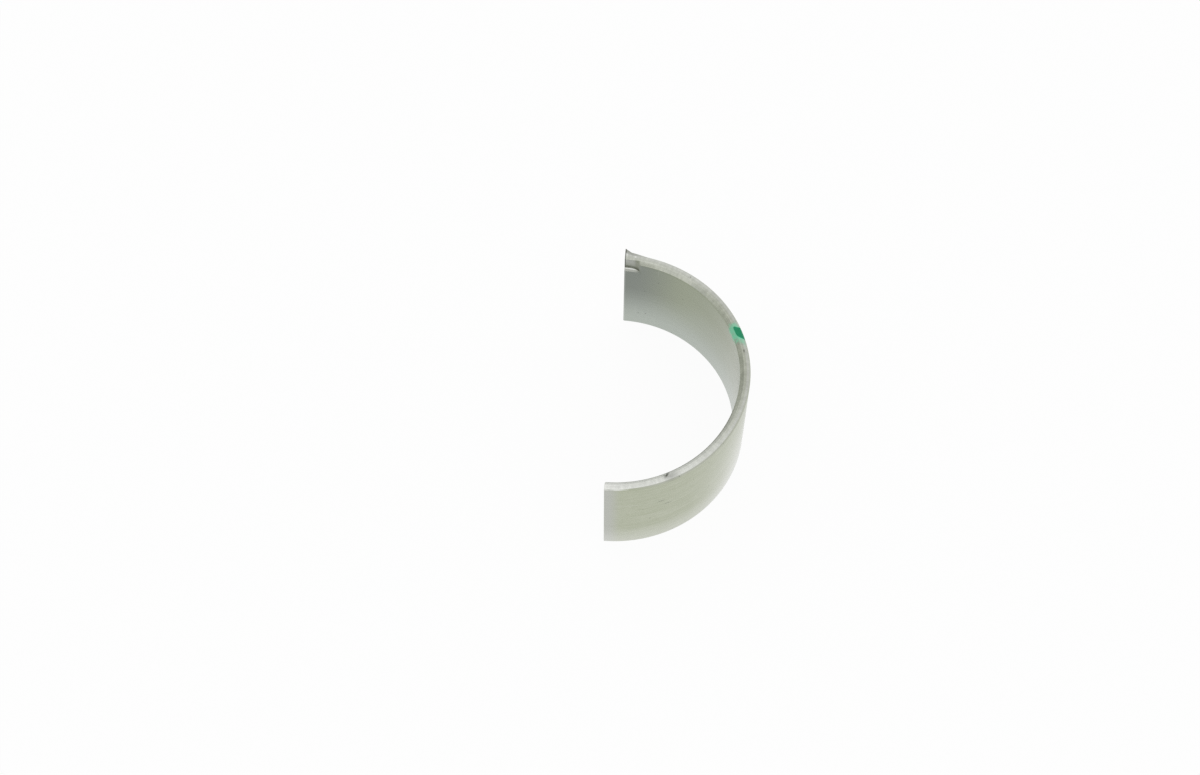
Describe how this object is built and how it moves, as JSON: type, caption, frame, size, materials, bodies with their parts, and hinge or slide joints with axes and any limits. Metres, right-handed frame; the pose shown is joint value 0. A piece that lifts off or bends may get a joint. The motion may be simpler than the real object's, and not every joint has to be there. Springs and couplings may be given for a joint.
{
  "type": "engine bearing shell",
  "caption": "Half-round plain bearing shell of lined steel, with chamfered rims and a pressed-out locating lug at a joint end, that carries a crankpin in a connecting rod's big end.",
  "frame": {"origin": "on the bearing axis, at mid width, in the plane where the housing splits", "axes": "+Z along the bearing axis towards the rim with the locating lug, +X from the split plane to the crown of the shell, +Y towards the joint end with the lug"},
  "size_m": [0.0195, 0.04, 0.0176],
  "materials": {
    "shell_metal": "satin, pale grey-green tin flash over lined steel",
    "grade_paint": "dab of green marking paint on the upper rim"
  },
  "bodies": {
    "root": {"bearing_shell": "shell_metal"}
  },
  "joints": []
}
